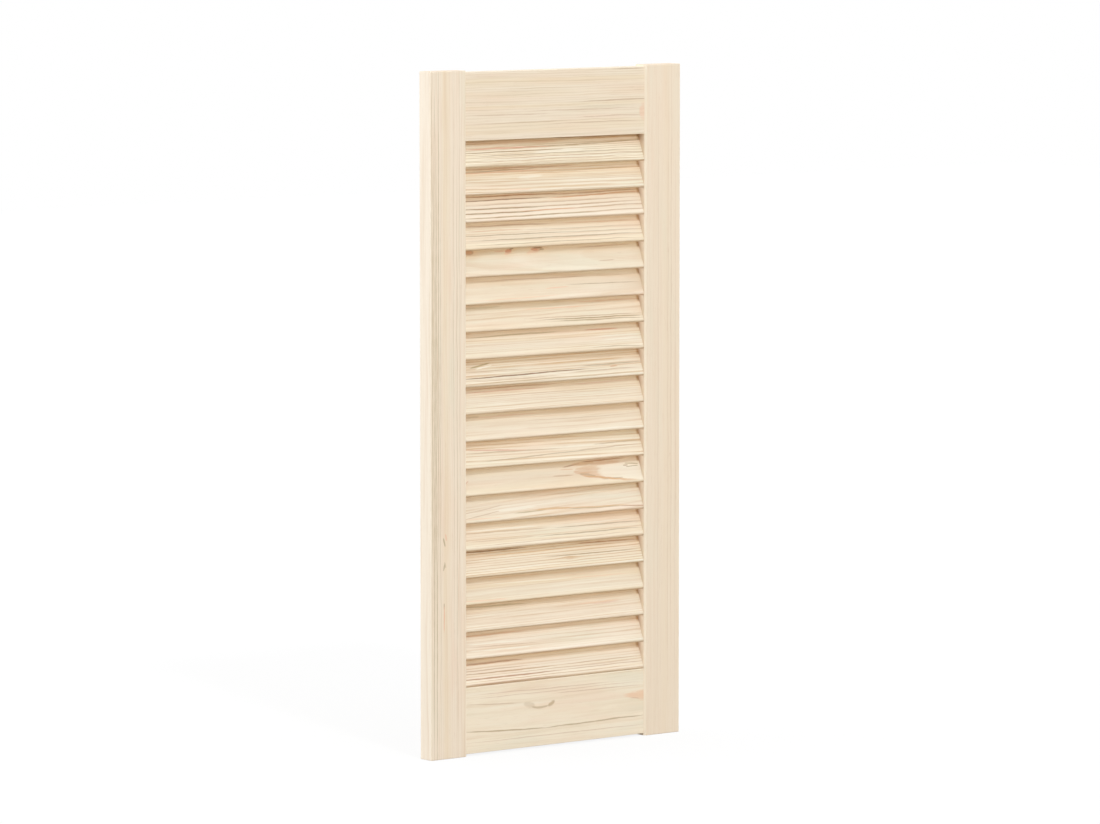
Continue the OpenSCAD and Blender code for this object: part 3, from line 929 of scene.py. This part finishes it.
def beech():
    """Beech of the dowels: even warm brown with short dark flecks along the grain."""
    material, bench, shader = new_material("dowel beech")
    fine = bench.group(FIBRES_GROUP, {
        "Vector": bench.put("TexCoord").outputs["Object"], "Seed": BEECH_SEED})
    even = bench.mix(bench.step(fine["Streak"], -0.2, 0.3), srgb(*BEECH), srgb(*DARK_BEECH))
    flecked = bench.mix(bench.times(fine["Dash"], 0.5), even, srgb(*FLECK))
    bump = bench.put("Bump", {"Strength": 0.4, "Distance": 0.1 * MM, "Height": fine["Streak"]})
    bench.feed(shader["Base Color"], flecked)
    bench.feed(shader["Roughness"], bench.plus(0.6, fine["Streak"]))
    bench.feed(shader["Normal"], bump.outputs[0])
    return material


# The wood of each board of the frame
FRAME_WOOD = {
    "left_stile": cut(
        pith=(64, -16), spacing=3.4, seed=11, contrast=0.16, wander=6, early=(246, 232, 213),
        fineness=0.25, worn=0.75, cloudy=0.7,
        lines=((-249, 7.5, 20, 1.1, 0, 0.75, PEACH), (-235, 7.7, 5, 0.9, 0, 0.7, GREY),
               (-155, 7, 6, 1.6, 0.25, 0.65, MOSS), (-149, 4.6, 5, 1.6, 0.2, 0.6, PEACH),
               (-186, 7.2, 5, 1.5, -0.25, 0.6, MOSS), (-183, 5.6, 4, 1, 0.2, 0.5, MOSS),
               (100, 25.2, 400, 0.75, 0, 0.75, REED), (-40, 22.8, 440, 0.75, 0, 0.85, REED),
               (60, 20.6, 420, 0.7, 0, 0.75, REED), (-80, 18.4, 440, 0.75, 0, 0.85, REED),
               (120, 15.4, 380, 0.75, 0, 0.75, REED), (-60, 12.6, 400, 0.7, 0, 0.5, REED),
               (60, -8, 420, 0.7, 0, 0.35, REED), (-60, -13, 420, 0.8, 0, 0.4, REED),
               (60, -17, 420, 0.7, 0, 0.3, REED))),
    "right_stile": cut(
        pith=(-40, -60), spacing=4.4, seed=14, contrast=0.06, wander=6, early=FRAME_CREAM,
        fineness=0.1, worn=0.75, cloudy=0.5,
        lines=((0, 7, 420, 1.4, 0, 0.15, TAN), (0, -9, 420, 0.8, 0, 0.2, TAN),
               (60, -14, 420, 1, 0, 0.25, TAN), (-60, -21, 420, 0.8, 0, 0.2, TAN))),
    "top_rail": cut(
        pith=(-62, -20), spacing=2.9, seed=31, contrast=0.26, wander=5, ripple=1.4, uneven=0.4,
        fineness=0.35, cloudy=0.7, early=(243, 229, 208), late=(206, 184, 148),
        lines=((140, -14, 8, 12, 0, 0.45, PEACH), (95, 1.6, 60, 0.9, 0.006, 0.6, TAN),
               (115, 40.4, 30, 0.8, 0, 0.5, GREY), (90, -18, 60, 0.9, 0.008, 0.4, TAN),
               (40, -9, 90, 0.8, -0.006, 0.4, TAN), (60, -25, 80, 0.8, 0.004, 0.4, TAN),
               (-70, -12, 70, 0.8, -0.01, 0.4, TAN), (-60, -22, 80, 0.8, 0, 0.4, TAN))),
    "bottom_rail": cut(
        pith=(-2, -40), spacing=3.4, seed=47, contrast=0.16, wander=4, ripple=1, fineness=0.35,
        early=(249, 237, 215), late=(218, 194, 158),
        lines=((148, 8, 42, 7.6, -0.04, 0.75, BLUSH), (142, 4.6, 26, 2.6, -0.06, 0.55, ORANGE),
               (-25, 6.7, 16, 2, -0.02, 0.6, MARK, 10), (-7, 10.4, 6, 3.8, 0.45, 0.7, MARK),
               (-42, 11.6, 10, 4.4, -0.18, 0.3, MARK), (-78, -17, 72, 1.2, -0.05, 0.85, MARK),
               (62, -18.9, 92, 1.2, 0.014, 0.8, MARK), (0, -29, 160, 0.9, -0.006, 0.35, TAN),
               (-100, 17.5, 50, 0.9, -0.06, 0.45, TAN), (70, 22, 80, 0.9, -0.01, 0.4, TAN),
               (-20, 30, 120, 0.9, -0.01, 0.4, TAN), (0, 26, 150, 0.8, 0, 0.35, TAN))),
}

for node in ("left_stile", "right_stile", "top_rail", "bottom_rail"):
    low, high = corners(node)
    centre = tuple(((low + high) / 2).tolist())
    if "stile" in node:
        turn, wide, thick = LIES_UPRIGHT, STILE_WIDTH, DOOR_THICKNESS
    else:
        turn, wide, thick = LIES_ACROSS, float(high[2] - low[2]), RAIL_THICKNESS
    dress(node, pine(node + " pine", centre, turn, wide / 2, thick / 2, FRAME_WOOD[node]))

dowel_beech = beech()
for node in ("top_left_dowels", "top_right_dowels", "bottom_left_dowels", "bottom_right_dowels"):
    dress(node, dowel_beech)


# Floor, light and camera

# Half the floor's side, its dull surface, its colour to the camera and to bounced light, and how
# far the camera sees it lifted
FLOOR_HALF = 9.0
FLOOR_ROUGHNESS = 0.9
FLOOR_SEEN = (0.13, 0.13, 0.13, 1.0)
FLOOR_BOUNCE = (0.32, 0.25, 0.17, 1.0)
FLOOR_LIFT = 0.86

# The room: its light at the horizon and overhead, and its colour
WALL_LEVEL = 1.25
CEILING_LEVEL = 0.78
ROOM_COLOUR = (1.0, 1.005, 1.0, 1.0)

# Name, share of the light, width in degrees, colour and the way towards each lamp
LAMPS = (("key", 0.21, 5.0, (0.93, 0.98, 1.05), (-0.16, -0.70, 0.64)),
         ("front", 0.11, 60.0, (0.96, 0.99, 1.03), (-0.10, -1.0, 0.12)),
         ("side", 0.30, 50.0, (0.94, 0.99, 1.05), (-1.0, 0.45, 0.25)))

# The camera's place round the door and above it, its distance, what it looks at, and its lens
AZIMUTH = math.radians(-37.983)
ELEVATION = math.radians(5.640)
DISTANCE = 7.6554
AIM = Vector((-0.00258, 0.0, 0.42016))
LENS = 200.74
SENSOR_WIDTH = 36.0


def seen_directly(bench):
    """1 for rays from the camera and for reflected or transmitted ones, else 0."""
    rays = bench.put("LightPath").outputs
    direct = bench.larger(rays["Is Camera Ray"], rays["Is Glossy Ray"])
    return bench.larger(direct, rays["Is Transmission Ray"])


def floor():
    """A wide pale floor. The camera sees it lifted to white, with the door's shadow kept."""
    half = FLOOR_HALF
    mesh = bpy.data.meshes.new("floor")
    mesh.from_pydata([(-half, -half, 0), (half, -half, 0), (half, half, 0), (-half, half, 0)], [],
                     [(0, 1, 2, 3)])
    mesh.update()
    material, bench, shader = new_material("pale floor")
    seen = seen_directly(bench)
    bench.feed(shader["Base Color"], bench.mix(seen, FLOOR_BOUNCE, FLOOR_SEEN))
    bench.feed(shader["Roughness"], FLOOR_ROUGHNESS)
    bench.feed(shader["Specular IOR Level"], 0.0)
    bench.feed(shader["Emission Color"], WHITE)
    bench.feed(shader["Emission Strength"], bench.times(seen, FLOOR_LIFT))
    mesh.materials.append(material)
    piece = add_object("floor", mesh)


def studio():
    """A white room, a little dimmer overhead, with a key lamp above in front and two broad ones."""
    room = bpy.data.worlds.new("studio")
    bpy.context.scene.world = room
    room.use_nodes = True
    bench = Bench(room.node_tree)
    background = bench.tree.nodes["Background"].inputs
    seen = seen_directly(bench)
    overhead = bench.split(bench.put("TexCoord").outputs["Generated"])[2]
    level = bench.between(overhead, WALL_LEVEL, CEILING_LEVEL)
    bench.feed(background["Color"], bench.mix(seen, ROOM_COLOUR, WHITE))
    bench.feed(background["Strength"], bench.between(seen, level, 1.0))
    for name, share, width, colour, direction in LAMPS:
        lamp = bpy.data.lights.new(name, "SUN")
        lamp.angle = math.radians(width)
        lamp.energy = share * math.pi
        lamp.color = colour
        add_object(name, lamp).rotation_euler = Vector(direction).to_track_quat("Z", "Y").to_euler()


def camera():
    """The photograph's view: from the front left, slightly above, with a long lens."""
    level = math.cos(ELEVATION)
    back = Vector((math.sin(AZIMUTH) * level, -math.cos(AZIMUTH) * level, math.sin(ELEVATION)))
    lens = bpy.data.cameras.new("camera")
    lens.lens = LENS
    lens.sensor_width = SENSOR_WIDTH
    view = add_object("camera", lens)
    view.location = AIM + back * DISTANCE
    view.rotation_euler = back.to_track_quat("Z", "Y").to_euler()
    bpy.context.scene.camera = view


floor()
studio()
camera()
bpy.context.scene.view_settings.view_transform = "Standard"
